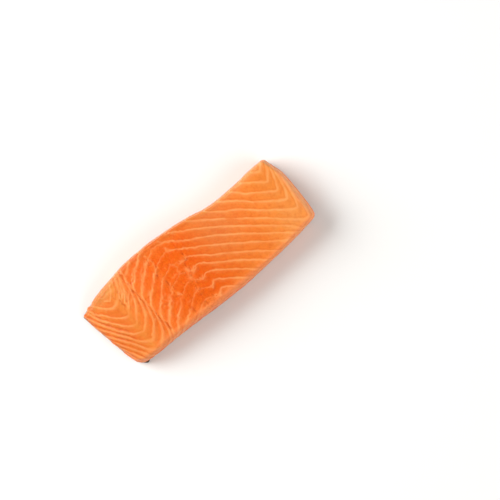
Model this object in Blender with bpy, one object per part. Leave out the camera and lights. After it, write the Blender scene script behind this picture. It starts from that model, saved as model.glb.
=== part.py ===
"""Portion of raw fish fillet lying on its skin: a thick slab of flesh cut straight
across the side of the fish, and the thin skin under it.

Axes: +X runs from the thin belly end to the thick back end, +Y across from the leaning
cut face to the upright cut face, +Z up. The origin is on the table under the middle of
the bounding box. Sizes below are in millimetres; the meshes are made in metres."""

import math

import bmesh
import bpy

MM = 0.001

# ---- named sizes -------------------------------------------------------------------
SKIN_T = 1.0  # skin thickness
GAP = 0.3  # clearance between the skin and the flesh
EDGE_R = 2.0  # rounding of the top edge of the flesh
BELLY_LIP = 1.0  # how far the top edge stands in at the belly end
BACK_LIP = 1.0  # how far the top edge stands in at the back end
BACK_TUCK = 1.6  # how far the foot stands in at the back end
SIDE_BULGE = 0.5  # swelling of the cut faces at half height
CROWN = 0.9  # how much higher the middle is than the long edges
BACK_RISE = 3.2  # how far the skin curves up off the table at the back end
BACK_RISE_FROM = 71.0
BELLY_RISE = 0.5  # the same at the belly end
BELLY_RISE_FROM = -79.0
SKIN_SHOW = 0.1  # skin standing out past the foot of the flesh
SKIN_FLAP = 1.5  # the scrap of skin that stands out near the belly corner
SKIN_FLAP_X = -72.0
SKIN_FLAP_SPREAD = 1.9
CREASE = 0.7  # depth of the trough where the belly lining ends
CREASE_X = -46.5
CREASE_SLANT = 0.08  # how far it runs towards the belly end for each millimetre across
CREASE_HALF = 3.6
MIDDLE = (0.53, -0.63)  # middle of the box round both bodies, moved to the origin

# (x, y) along the foot of the leaning cut face and of the upright cut face
NEAR_CUT = (
    (-77.4, -31.6),
    (-70.2, -33.1),
    (-63.0, -33.5),
    (-41.4, -32.9),
    (-5.4, -33.4),
    (16.2, -33.2),
    (37.8, -31.6),
    (63.0, -28.9),
    (88.0, -25.1),
)
FAR_CUT = (
    (-88.8, 20.3),
    (-81.7, 22.7),
    (-74.0, 25.4),
    (-66.6, 27.3),
    (-55.8, 29.3),
    (-41.4, 32.2),
    (-18.4, 32.9),
    (-9.0, 32.4),
    (12.6, 30.5),
    (34.2, 26.95),
    (55.8, 27.8),
    (70.0, 29.3),
    (78.0, 29.5),
    (83.0, 30.0),
)
# (share of the way across, how far the end stands out from the straight line)
BELLY_END = ((0.0, 0.0), (0.3, 0.7), (0.7, 0.6), (1.0, 0.0))
BACK_END = ((0.0, 0.0), (0.12, 1.6), (0.42, 3.2), (0.7, 3.9), (0.86, 1.9), (1.0, 0.0))
# (x, how far the top edge of the leaning cut face stands in from its foot)
LEAN = ((-77.0, 1.0), (-60.0, 1.2), (-5.0, 1.2), (14.0, 1.0), (36.0, 0.6), (50.0, 0.4), (87.0, 0.3))
# (x, height of the top above the table along the middle)
TOP = (
    (-88.2, 6.6),
    (-81.0, 10.2),
    (-73.8, 13.8),
    (-64.4, 16.9),
    (-52.2, 19.5),
    (-34.2, 21.8),
    (-12.6, 22.7),
    (9.0, 22.1),
    (34.2, 20.8),
    (52.2, 21.6),
    (68.0, 23.0),
    (78.0, 22.9),
    (84.5, 22.2),
    (88.2, 20.9),
)
# rounding of the four corners seen from above: (end, side) -> radius
CORNER_R = {(0, 0): 4.6, (0, 1): 1.6, (1, 0): 3.2, (1, 1): 1.8}

FLESH_CUTS = (62, 24, 7)  # divisions along, across and up
SKIN_CUTS = (56, 20, 1)


def along(table, x):
    """Smooth curve through the named stations, without overshoot."""
    n = len(table)
    if x <= table[0][0]:
        return table[0][1]
    if x >= table[-1][0]:
        return table[-1][1]
    i = max(k for k in range(n - 1) if table[k][0] <= x)

    def slope(k):
        if k <= 0 or k >= n - 1:
            a, b = (0, 1) if k <= 0 else (n - 2, n - 1)
            return (table[b][1] - table[a][1]) / (table[b][0] - table[a][0])
        h0, h1 = table[k][0] - table[k - 1][0], table[k + 1][0] - table[k][0]
        d0 = (table[k][1] - table[k - 1][1]) / h0
        d1 = (table[k + 1][1] - table[k][1]) / h1
        if d0 * d1 <= 0:
            return 0.0
        w0, w1 = 2 * h1 + h0, h1 + 2 * h0
        return (w0 + w1) / (w0 / d0 + w1 / d1)

    h = table[i + 1][0] - table[i][0]
    q = (x - table[i][0]) / h
    y0, y1 = table[i][1], table[i + 1][1]
    m0, m1 = slope(i) * h, slope(i + 1) * h
    return (
        y0 * (2 * q**3 - 3 * q**2 + 1)
        + m0 * (q**3 - 2 * q**2 + q)
        + y1 * (3 * q**2 - 2 * q**3)
        + m1 * (q**3 - q**2)
    )


def mix(a, b, q):
    return tuple(p + (r - p) * q for p, r in zip(a, b))


def near_side(s, w, spread):
    x = NEAR_CUT[0][0] + (NEAR_CUT[-1][0] - NEAR_CUT[0][0]) * s
    y = along(NEAR_CUT, x) + along(LEAN, x) * w**1.4 - SIDE_BULGE * math.sin(math.pi * w)
    return x, y - spread


def far_side(s, w, spread):
    x = FAR_CUT[0][0] + (FAR_CUT[-1][0] - FAR_CUT[0][0]) * s
    return x, along(FAR_CUT, x) - 0.9 * w**2 + SIDE_BULGE * math.sin(math.pi * w) + spread


def outline(s, t, w, spread=0.0):
    """Point of the plan at the shares s along and t across, w of the way up: the four
    edge curves blended together."""
    c00, c10 = near_side(0, w, spread), near_side(1, w, spread)
    c01, c11 = far_side(0, w, spread), far_side(1, w, spread)
    belly_in = BELLY_LIP * w**2 - spread
    back_in = BACK_LIP * w**2.2 + BACK_TUCK * (1 - w) ** 2 - 1.0 * math.sin(math.pi * w) - spread
    straight0, straight1 = mix(c00, c01, t), mix(c10, c11, t)
    e0 = (straight0[0] - along(BELLY_END, t) + belly_in, straight0[1])
    e1 = (straight1[0] + along(BACK_END, t) - back_in, straight1[1])
    n, f = near_side(s, w, spread), far_side(s, w, spread)
    return tuple(
        n[k] * (1 - t)
        + f[k] * t
        + e0[k] * (1 - s)
        + e1[k] * s
        - straight0[k] * (1 - s)
        - straight1[k] * s
        for k in (0, 1)
    )


LONG = NEAR_CUT[-1][0] - NEAR_CUT[0][0]
ACROSS = 60.0


def corner(s, t):
    """Rounds the corners of the plan. Gives the moved shares and the distance in from
    the outline in millimetres."""
    end, side = int(s > 0.5), int(t > 0.5)
    da, db = min(s, 1 - s) * LONG, min(t, 1 - t) * ACROSS
    r = CORNER_R[(end, side)]
    if da >= r or db >= r:
        return s, t, min(da, db)
    p, q = r - da, r - db
    p2 = p * math.sqrt(1 - q * q / (2 * r * r))
    q2 = q * math.sqrt(1 - p * p / (2 * r * r))
    da, db = r - p2, r - q2
    s2 = da / LONG if end == 0 else 1 - da / LONG
    t2 = db / ACROSS if side == 0 else 1 - db / ACROSS
    return s2, t2, r - math.hypot(p2, q2)


def underside(x):
    """Height of the skin's underside: flat on the table, curving up at the ends."""
    back = max(0.0, (x - BACK_RISE_FROM) / (88.2 - BACK_RISE_FROM))
    belly = max(0.0, (BELLY_RISE_FROM - x) / (88.2 + BELLY_RISE_FROM))
    return BACK_RISE * back**2 + BELLY_RISE * belly**2


def top(x, y, t):
    off = (x - CREASE_X + CREASE_SLANT * y) / CREASE_HALF
    crown = 0.35 * CROWN - CROWN * (2 * t - 1) ** 2
    return along(TOP, x) + crown - CREASE * math.exp(-(off**2))


def inset_rows(k, n, span):
    """Share along a span of grid line k of n: three narrow rows at either end that
    follow the rounding of the top edge, and even rows between."""
    if k < 0 or k > n:
        raise ValueError(k)
    if k > n / 2:
        return 1 - inset_rows(n - k, n, span)
    if k <= 3:
        return EDGE_R * (1 - math.sin(math.pi / 2 * (1 - k / 3))) / span
    edge = EDGE_R / span
    return edge + (0.5 - edge) * (k - 3) / (n / 2 - 3)


def flesh_point(a, b, c):
    nx, ny, _ = FLESH_CUTS
    s = inset_rows(round((a + 1) / 2 * nx), nx, LONG)
    t = inset_rows(round((b + 1) / 2 * ny), ny, ACROSS)
    w = (c + 1) / 2
    s, t, d = corner(s, t)
    x, y = outline(s, t, w)
    foot = underside(x) + SKIN_T + GAP
    crest = top(x, y, t) - EDGE_R
    if w > 0.999:
        d = min(d, EDGE_R)
        z = crest + math.sqrt(max(0.0, EDGE_R**2 - (EDGE_R - d) ** 2))
    else:
        z = foot + (crest - foot) * w
    return (x - MIDDLE[0]) * MM, (y - MIDDLE[1]) * MM, z * MM


def skin_point(a, b, c):
    s, t, _ = corner((a + 1) / 2, (b + 1) / 2)
    x, y = outline(s, t, 0.0, SKIN_SHOW)
    y -= SKIN_FLAP * math.exp(-(((x - SKIN_FLAP_X) / SKIN_FLAP_SPREAD) ** 2)) * (1 - t) ** 8
    z = underside(x) + (SKIN_T if c > 0 else 0.0)
    return (x - MIDDLE[0]) * MM, (y - MIDDLE[1]) * MM, z * MM


def block(name, cuts, place):
    """A cube cut into a grid of faces, each corner then moved by place()."""
    bm = bmesh.new()
    bmesh.ops.create_cube(bm, size=2.0)
    for axis, count in enumerate(cuts):
        if count < 2:
            continue
        run = [e for e in bm.edges if abs(e.verts[0].co[axis] - e.verts[1].co[axis]) > 1e-6]
        bmesh.ops.subdivide_edges(bm, edges=run, cuts=count - 1)
    for v in bm.verts:
        v.co = place(*v.co)
    bmesh.ops.recalc_face_normals(bm, faces=bm.faces)
    mesh = bpy.data.meshes.new(name)
    bm.to_mesh(mesh)
    bm.free()
    return mesh


def material(name, colour, roughness):
    m = bpy.data.materials.new(name)
    m.use_nodes = True
    node = m.node_tree.nodes["Principled BSDF"]
    node.inputs["Base Color"].default_value = (*colour, 1.0)
    node.inputs["Roughness"].default_value = roughness
    return m


def main():
    for o in list(bpy.data.objects):
        bpy.data.objects.remove(o, do_unlink=True)
    home = bpy.data.collections.new("fish_fillet_portion")
    bpy.context.scene.collection.children.link(home)
    for name, cuts, place, colour, roughness in (
        ("flesh", FLESH_CUTS, flesh_point, (0.93, 0.22, 0.05), 0.35),
        ("skin", SKIN_CUTS, skin_point, (0.16, 0.16, 0.15), 0.4),
    ):
        mesh = block(name, cuts, place)
        mesh.materials.append(material(name, colour, roughness))
        mesh.shade_smooth()
        home.objects.link(bpy.data.objects.new(name, mesh))


main()
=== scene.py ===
import math

import bpy
import numpy as np
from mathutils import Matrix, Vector


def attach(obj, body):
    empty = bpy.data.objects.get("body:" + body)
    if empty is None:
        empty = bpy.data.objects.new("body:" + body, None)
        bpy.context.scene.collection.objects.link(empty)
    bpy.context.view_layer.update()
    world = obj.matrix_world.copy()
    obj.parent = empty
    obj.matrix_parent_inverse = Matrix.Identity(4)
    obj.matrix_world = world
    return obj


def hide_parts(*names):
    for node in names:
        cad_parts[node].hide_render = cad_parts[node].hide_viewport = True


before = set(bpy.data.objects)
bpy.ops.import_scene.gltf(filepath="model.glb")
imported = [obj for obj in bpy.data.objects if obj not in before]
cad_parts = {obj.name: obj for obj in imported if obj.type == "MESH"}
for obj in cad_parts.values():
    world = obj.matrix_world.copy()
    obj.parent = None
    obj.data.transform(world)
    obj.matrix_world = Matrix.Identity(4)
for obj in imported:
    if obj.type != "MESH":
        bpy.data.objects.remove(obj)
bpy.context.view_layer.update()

# A raw fish fillet portion on its skin. Lengths in this script are millimetres in the
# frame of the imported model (+X belly end to back end, +Y leaning cut face to upright
# cut face, +Z up) until a mesh is made, which is in metres.
MM = 0.001

# ======================================================================================
# the form: the same named sizes as the solids
# ======================================================================================
SKIN_T = 1.0
EDGE_R = 2.0
BELLY_LIP = 1.0
BACK_LIP = 1.0
BACK_TUCK = 1.6
SIDE_BULGE = 0.5
CROWN = 0.9
BACK_RISE, BACK_RISE_FROM = 3.2, 71.0
BELLY_RISE, BELLY_RISE_FROM = 0.5, -79.0
SKIN_SHOW = 0.1
SKIN_FLAP, SKIN_FLAP_X, SKIN_FLAP_SPREAD = 1.5, -72.0, 1.9
CREASE, CREASE_X, CREASE_SLANT, CREASE_HALF = 0.7, -46.5, 0.08, 3.6
MIDDLE = (0.53, -0.63)
# the lines, folds and patches further down are drawn on a plan of their own: its origin,
# and the point about which it shows the raised top a little larger than it is
DRAWN = (0.31, -0.5)
DRAWN_ABOUT, DRAWN_GROWTH = (35.5, -15.2), 1 / 3006

NEAR_CUT = (
    (-77.4, -31.6),
    (-70.2, -33.1),
    (-63.0, -33.5),
    (-41.4, -32.9),
    (-5.4, -33.4),
    (16.2, -33.2),
    (37.8, -31.6),
    (63.0, -28.9),
    (88.0, -25.1),
)
FAR_CUT = (
    (-88.8, 20.3),
    (-81.7, 22.7),
    (-74.0, 25.4),
    (-66.6, 27.3),
    (-55.8, 29.3),
    (-41.4, 32.2),
    (-18.4, 32.9),
    (-9.0, 32.4),
    (12.6, 30.5),
    (34.2, 26.95),
    (55.8, 27.8),
    (70.0, 29.3),
    (78.0, 29.5),
    (83.0, 30.0),
)
BELLY_END = ((0.0, 0.0), (0.3, 0.7), (0.7, 0.6), (1.0, 0.0))
BACK_END = ((0.0, 0.0), (0.12, 1.6), (0.42, 3.2), (0.7, 3.9), (0.86, 1.9), (1.0, 0.0))
LEAN = ((-77.0, 1.0), (-60.0, 1.2), (-5.0, 1.2), (14.0, 1.0), (36.0, 0.6), (50.0, 0.4), (87.0, 0.3))
TOP = (
    (-88.2, 6.6),
    (-81.0, 10.2),
    (-73.8, 13.8),
    (-64.4, 16.9),
    (-52.2, 19.5),
    (-34.2, 21.8),
    (-12.6, 22.7),
    (9.0, 22.1),
    (34.2, 20.8),
    (52.2, 21.6),
    (68.0, 23.0),
    (78.0, 22.9),
    (84.5, 22.2),
    (88.2, 20.9),
)
CORNER_R = {(0, 0): 4.6, (0, 1): 1.6, (1, 0): 3.2, (1, 1): 1.8}
LONG = NEAR_CUT[-1][0] - NEAR_CUT[0][0]
ACROSS = 60.0


def along(table, x):
    """Smooth curve through the stations, without overshoot, level past the ends."""
    return spline(table, np.clip(x, table[0][0], table[-1][0]))


def spline(table, x):
    px = np.array([p[0] for p in table], float)
    py = np.array([p[1] for p in table], float)
    h = np.diff(px)
    d = np.diff(py) / h
    m = np.zeros(len(px))
    m[0], m[-1] = d[0], d[-1]
    for i in range(1, len(px) - 1):
        if d[i - 1] * d[i] > 0:
            w0, w1 = 2 * h[i] + h[i - 1], h[i] + 2 * h[i - 1]
            m[i] = (w0 + w1) / (w0 / d[i - 1] + w1 / d[i])
    x = np.asarray(x, float)
    i = np.clip(np.searchsorted(px, x) - 1, 0, len(h) - 1)
    q = (x - px[i]) / h[i]
    y = (
        py[i] * (2 * q**3 - 3 * q**2 + 1)
        + m[i] * h[i] * (q**3 - 2 * q**2 + q)
        + py[i + 1] * (3 * q**2 - 2 * q**3)
        + m[i + 1] * h[i] * (q**3 - q**2)
    )
    y = np.where(x < px[0], py[0] + m[0] * (x - px[0]), y)
    return np.where(x > px[-1], py[-1] + m[-1] * (x - px[-1]), y)


def near_side(s, w, spread):
    x = NEAR_CUT[0][0] + LONG * s
    y = along(NEAR_CUT, x) + along(LEAN, x) * w**1.4 - SIDE_BULGE * np.sin(np.pi * w)
    return x, y - spread


def far_side(s, w, spread):
    x = FAR_CUT[0][0] + (FAR_CUT[-1][0] - FAR_CUT[0][0]) * s
    return x, along(FAR_CUT, x) - 0.9 * w**2 + SIDE_BULGE * np.sin(np.pi * w) + spread


def outline(s, t, w, spread=0.0):
    c00, c10 = near_side(0 * s, w, spread), near_side(0 * s + 1, w, spread)
    c01, c11 = far_side(0 * s, w, spread), far_side(0 * s + 1, w, spread)
    belly_in = BELLY_LIP * w**2 - spread
    back_in = BACK_LIP * w**2.2 + BACK_TUCK * (1 - w) ** 2 - 1.0 * np.sin(np.pi * w) - spread
    straight0 = [c00[k] * (1 - t) + c01[k] * t for k in (0, 1)]
    straight1 = [c10[k] * (1 - t) + c11[k] * t for k in (0, 1)]
    e0 = (straight0[0] - along(BELLY_END, t) + belly_in, straight0[1])
    e1 = (straight1[0] + along(BACK_END, t) - back_in, straight1[1])
    n, f = near_side(s, w, spread), far_side(s, w, spread)
    return [
        n[k] * (1 - t)
        + f[k] * t
        + e0[k] * (1 - s)
        + e1[k] * s
        - straight0[k] * (1 - s)
        - straight1[k] * s
        for k in (0, 1)
    ]


def corner(s, t):
    """Rounds the corners of the plan; also gives the distance in from the outline."""
    da = np.minimum(s, 1 - s) * LONG
    db = np.minimum(t, 1 - t) * ACROSS
    s2, t2, d = s.copy(), t.copy(), np.minimum(da, db)
    for (end, side), r in CORNER_R.items():
        m = (da < r) & (db < r) & ((s > 0.5) == bool(end)) & ((t > 0.5) == bool(side))
        p, q = r - da[m], r - db[m]
        p2 = p * np.sqrt(1 - q * q / (2 * r * r))
        q2 = q * np.sqrt(1 - p * p / (2 * r * r))
        sa, ta = (r - p2) / LONG, (r - q2) / ACROSS
        s2[m] = 1 - sa if end else sa
        t2[m] = 1 - ta if side else ta
        d[m] = r - np.hypot(p2, q2)
    return s2, t2, d


def underside(x):
    back = np.maximum(0.0, (x - BACK_RISE_FROM) / (88.2 - BACK_RISE_FROM))
    belly = np.maximum(0.0, (BELLY_RISE_FROM - x) / (88.2 + BELLY_RISE_FROM))
    return BACK_RISE * back**2 + BELLY_RISE * belly**2


def top(x, y, t):
    off = (x - CREASE_X + CREASE_SLANT * y) / CREASE_HALF
    crown = 0.35 * CROWN - CROWN * (2 * t - 1) ** 2
    return along(TOP, x) + crown - CREASE * np.exp(-(off**2))


# ======================================================================================
# noise, made from hashed lattice values so that every run gives the same surface
# ======================================================================================
def lattice(i, j, k, seed):
    n = (i * 374761393 + j * 668265263 + k * 1440662683 + seed * 1274126177) & 0xFFFFFFFF
    n = ((n ^ (n >> 13)) * 1103515245) & 0xFFFFFFFF
    n = ((n ^ (n >> 15)) * 2246822519) & 0xFFFFFFFF
    return ((n ^ (n >> 16)) & 0xFFFF) / 32767.5 - 1.0


def noise(x, y, z, cell, seed):
    """Smooth noise between -1 and 1; cell is its grain in millimetres, one number or one
    for each axis."""
    cell = (cell,) * 3 if np.isscalar(cell) else cell
    base, frac = [], []
    for c, size in zip((x, y, z), cell):
        c = np.asarray(c, float) / size + 1000.0
        b = np.floor(c)
        f = c - b
        base.append(b.astype(np.int64))
        frac.append(f * f * f * (f * (f * 6 - 15) + 10))
    total = 0.0
    for i in (0, 1):
        for j in (0, 1):
            for k in (0, 1):
                w = (
                    (frac[0] if i else 1 - frac[0])
                    * (frac[1] if j else 1 - frac[1])
                    * (frac[2] if k else 1 - frac[2])
                )
                total = total + w * lattice(base[0] + i, base[1] + j, base[2] + k, seed)
    return total


def layered(x, y, z, cell, seed, octaves=3):
    total, size, weight = 0.0, cell, 1.0
    for o in range(octaves):
        total = total + weight * noise(x, y, z, size, seed + 17 * o)
        size, weight = size * 0.5, weight * 0.5
    return total / (2 - 2 * 0.5**octaves)


def ramp(x, a, b):
    q = np.clip((x - a) / (b - a), 0, 1)
    return q * q * (3 - 2 * q)


# ======================================================================================
# the flakes: sheets of muscle parted by thin white fat. Each line of fat is a curve laid
# out along the top of the portion, from the back end's uppermost line down to the one in
# the middle of the leaning cut face.
# ======================================================================================
FAT_LINES = (
    (
        (44.7, 50), (59.1, 38.5), (69.9, 29.1), (73.8, 26.6), (75.9, 25.2), (77.8, 27.3),
        (80.7, 30.6), (85, 39.2),
    ),
    (
        (44.7, 37.8), (53.3, 32), (59.1, 27.7), (64.1, 24.5), (69.9, 20.5), (73.8, 17.5), (76.2, 16.3), (77.8, 18.9), (80, 21.6), (82.1, 25.5), (83.6, 30.6), (86.4, 42.8),
    ),
    (
        (30.3, 41.4), (41.1, 33.8), (48.3, 28.4), (53.3, 24.1), (57.6, 19.4), (64.1, 15.2),
        (69.9, 11.6), (75.2, 8.1), (77.7, 6.9), (79.2, 9.9), (81, 14), (82.8, 20.5), (84.1, 27),
        (85.7, 35.6),
    ),
    (
        (-88.5, 42.8), (-83.5, 31.3), (-79.9, 24.1), (-77, 20.5), (-74.1, 16.9), (-71.2, 14.5),
        (-68.3, 12.8), (-64.8, 14), (-60.9, 16.4), (-58.3, 19.8), (-55.4, 24.6), (-54, 28.4),
        (-51.8, 33.4), (-41.7, 47.1), (-27.3, 57.2), (-5.7, 60.1), (15.9, 44.2), (30.3, 32.7),
        (41.1, 25.1), (46.8, 21.2), (53.3, 16.4), (56.9, 12.6), (62.7, 8.2), (68.4, 4.1),
        (74.9, -0.3), (79.4, -2.4), (81.0, 0.6), (82.8, 4.6), (83.9, 14), (85, 23.4), (86.4, 32),
    ),
    (
        (-88.5, 31.3), (-83.5, 21.9), (-81.1, 17.4), (-79.9, 15.1), (-76.8, 13.1), (-72.7, 7.3),
        (-69.1, 4.4), (-65.5, 2.0), (-62.0, 1.7), (-60.5, 5.0), (-58.3, 10.4), (-56.1, 14),
        (-54, 17.6), (-52.5, 23.4), (-51.1, 29.1), (-48.9, 34.2), (-41.7, 41.4), (-20.1, 48.6),
        (1.5, 45), (15.9, 34.5), (27.4, 26.6), (32.1, 22.6), (38.2, 18.3), (43.2, 15.8),
        (49.7, 11.6), (55.5, 6.2), (62.7, 0.5), (71.3, -5.8), (78.2, -10.5), (81.8, -12.4),
        (83.2, -8.3), (84.3, -4), (85.4, 3.2), (86.2, 11.1), (87.2, 22.6),
    ),
    (
        (-87.8, 25.5), (-84.2, 19.8), (-82, 13.7), (-79.9, 10.2), (-76.3, 5.9), (-72.7, 1.5),
        (-69.8, -2.3), (-66.2, -5.0), (-61.6, -6.5), (-59.9, -4.3), (-56.6, 0.1), (-53.2, 5.1),
        (-51.3, 11.1), (-49.5, 19), (-47.9, 25.5), (-43.9, 28), (-41, 30.6), (-34.5, 35.6),
        (-18.7, 40.6), (-2.1, 37.4), (5.1, 34.2), (10.8, 30.6), (17.1, 26.6), (23.1, 22.6),
        (28.9, 18.2), (34.5, 14.6), (38.2, 11.8), (43.2, 8), (50.4, 2.9), (57.6, -2.8),
        (62.7, -6.7), (68.1, -11.8), (75.6, -17.8), (80, -21.3), (82.5, -22.1), (84.3, -21.7),
        (85.7, -18.4), (86.6, -10.5), (87.2, -1.8), (87.9, 8.2),
    ),
    (
        (-87.1, 17.6), (-84.2, 11.6), (-81.1, 6.4), (-77.7, 1), (-74.1, -4), (-70.5, -8.1),
        (-68.1, -10.8), (-63.8, -12.6), (-61.0, -14.0), (-59.3, -12.5), (-56.1, -9.8),
        (-52.5, -5.2), (-50.6, -0.4), (-49.3, 5.4), (-48.3, 12.6), (-46.8, 16.9), (-43.1, 20),
        (-40.3, 24.1), (-36, 27), (-33.1, 29.8), (-27.3, 33.1), (-16.5, 34.9), (-9.3, 33.4),
        (-3.5, 31.3), (2, 28), (5.1, 26.6), (10.8, 23.4), (20.2, 17.6), (28.9, 11.8), (36, 6.8),
        (43.2, 1.3), (49.7, -3.7), (56.2, -8.3), (64.8, -15.2), (69.9, -19.8), (73.5, -24.2),
        (77.8, -28.5), (82.1, -30.6), (85.7, -29.2), (87.9, -22),
    ),
    (
        (-86.9, 9.7), (-84, 4.6), (-79.9, -0.4), (-76.8, -5.2), (-72.7, -10.2), (-70.5, -13.6),
        (-68.1, -17), (-65.3, -19.6), (-61.5, -21.9), (-59, -22.6), (-55.4, -18.4),
        (-51.8, -14.1), (-49.8, -9.8), (-48.1, -4), (-47.2, 2.5), (-46.5, 7.5), (-44.3, 9.7),
        (-40.3, 14), (-37.1, 16.9), (-33.5, 20.5), (-29.9, 24.5), (-25.9, 25.9), (-20.1, 29.6),
        (-12.9, 28.8), (-9.3, 27.7), (-6.4, 26.5), (-3.1, 23.6), (2, 20), (5.1, 18.2),
        (13, 14.4), (21.7, 9.4), (28.9, 4.4), (37.5, -1.3), (44.7, -6.9), (53.3, -13.1),
        (59.1, -17.1), (68.1, -24.2), (73.5, -28.5), (80.7, -35.7), (87.9, -37.8),
    ),
    (
        (-87.8, 6.1), (-84.9, 1), (-82, -3.8), (-78.4, -8.2), (-75.3, -12.6), (-71.2, -17.7),
        (-69.1, -21.6), (-66.7, -25.3), (-63.3, -29.2), (-60.4, -31.1), (-57.5, -30.4),
        (-55.4, -28.9), (-52.3, -25.6), (-49.4, -21.6), (-47.3, -15.3), (-46.3, -9),
        (-45.3, -1.8), (-43.1, 0.6), (-40.7, 4.1), (-37.1, 6.5), (-33.5, 9.7), (-30.4, 12.8),
        (-27.3, 15.4), (-21.5, 19), (-17.5, 21.5), (-11.5, 21.5), (-8.3, 19.3), (-3.1, 16.9),
        (2, 13.3), (6.5, 10.8), (12.3, 7.3), (20.9, 2), (26.7, -1.8), (33.9, -6.9),
        (41.1, -11.4), (46.8, -16), (53.3, -20.4), (59.1, -24.4), (64.1, -27), (73.5, -35.7),
        (87.9, -45),
    ),
    (
        (-86.3, -0.4), (-82.5, -6.9), (-79.7, -12.3), (-76.3, -17.2), (-72.7, -22.7),
        (-70.5, -26.3), (-68.3, -30.3), (-63.3, -37.1), (-59, -39.3), (-53.2, -37.1),
        (-48.9, -31.4), (-46.5, -25.6), (-45.3, -20.6), (-44.6, -14.1), (-43.1, -10.2),
        (-40.3, -7.3), (-37.4, -4.1), (-35, -1.6), (-32.4, 2.2), (-29.5, 5.4), (-26.3, 7.2),
        (-22.7, 8.4), (-19.1, 10.4), (-16, 11.6), (-12.2, 9.2), (-8.3, 8.7), (-4.3, 8.9),
        (-1.4, 8.4), (2, 6.6), (6.5, 3.3), (10.8, -0.4), (15.9, -3), (25.2, -9), (35.3, -15.7),
        (42.5, -21), (49.7, -26.3), (59.1, -33.5), (73.5, -44.3), (87.9, -53.7),
    ),
    (
        (-85.6, -4.7), (-81.1, -13.6), (-77.7, -20.3), (-74.1, -27), (-71.2, -32.1),
        (-64.8, -43.6), (-59, -46.5), (-51.8, -43.6), (-46, -32.1), (-43.9, -24.9),
        (-42.4, -20.1), (-40.3, -17.2), (-37.1, -13.6), (-34.5, -10.6), (-30.9, -6.4),
        (-27.8, -3.6), (-25.1, -1.4), (-22.3, 0), (-18.7, 1), (-15.1, 2.8), (-11.5, 0.8),
        (-8.6, 0.3), (-5.4, -1.7), (-1.8, 0.8), (1.5, -0.4), (4.1, -1.8), (7.2, -4.6),
        (12.3, -7.7), (17.3, -10.9), (23.1, -14.4), (30.3, -19.7), (36, -24), (42.5, -29.2),
        (51.9, -36.4), (73.5, -53), (87.9, -62.3),
    ),
    (
        (-84.9, -11.9), (-78.4, -24.9), (-74.8, -32.1), (-69.1, -43.6), (-59, -53.7),
        (-48.9, -47.9), (-43.1, -34.2), (-39.1, -27), (-36, -22.3), (-32.4, -18.7),
        (-29.5, -16.5), (-27.3, -14.2), (-23.7, -11.2), (-21.5, -9.8), (-19.1, -7.9),
        (-15.1, -5.9), (-12.2, -5.3), (-10, -6.4), (-6.4, -9.3), (-3.8, -10.5), (-1.6, -8.8),
        (1, -7.9), (3.6, -8.8), (6.5, -10.5), (12.3, -14.4), (17.3, -18), (24.5, -23.3),
        (31, -28.8), (37.5, -34.2), (51.9, -44.3), (73.5, -61.6), (87.9, -71),
    ),
    (
        (-83.5, -20.6), (-76.3, -35), (-69.1, -50.8), (-59, -60.9), (-46, -49.4), (-37.4, -32.8),
        (-31.4, -26.9), (-28, -24.9), (-23.7, -21.6), (-20.6, -19.4), (-16.5, -16.2),
        (-13.6, -14.7), (-11.2, -14.5), (-7.9, -16.1), (-5, -17.7), (-2.4, -18.8), (-0.7, -17.5),
        (1.8, -15.2), (3.6, -16), (6.5, -18.4), (12.3, -22), (17.3, -25.6), (20.9, -28.5),
        (30.3, -35.7), (51.9, -53), (73.5, -70.2), (87.9, -79.6),
    ),
    (
        (-83.5, -29.2), (-69.1, -59.4), (-59, -68.8), (-43.1, -56.6), (-30.9, -40), (-23, -29.9),
        (-16.5, -25.3), (-10, -22.7), (-7.1, -24.2), (-5, -26), (-2.5, -26.8), (0, -25.3),
        (2.5, -23.4), (5.1, -24.2), (10.1, -27.8), (20.9, -36.4), (30.3, -44.3), (51.9, -61.6),
        (87.9, -88.2),
    ),
)
GRID = 0.4
GX = np.arange(-98.0, 98.01, GRID)
GY = np.arange(-44.0, 44.01, GRID)
SINK = 1.35  # how many flakes the lines slide past on their way from the top to the skin


def blur(a, sigma):
    r = int(3 * sigma + 1)
    k = np.exp(-0.5 * (np.arange(-r, r + 1) / sigma) ** 2)
    k /= k.sum()
    for axis in (0, 1):
        pad = [(0, 0), (0, 0)]
        pad[axis] = (r, r)
        b = np.pad(a, pad, mode="edge")
        n = a.shape[axis]
        a = sum(k[j] * np.take(b, np.arange(j, j + n), axis=axis) for j in range(2 * r + 1))
    return a


def middle_part(x):
    """1 over the soft, gaping middle of the portion, 0 elsewhere."""
    return ramp(x, -46, -36) * (1 - ramp(x, 0, 12))


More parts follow.
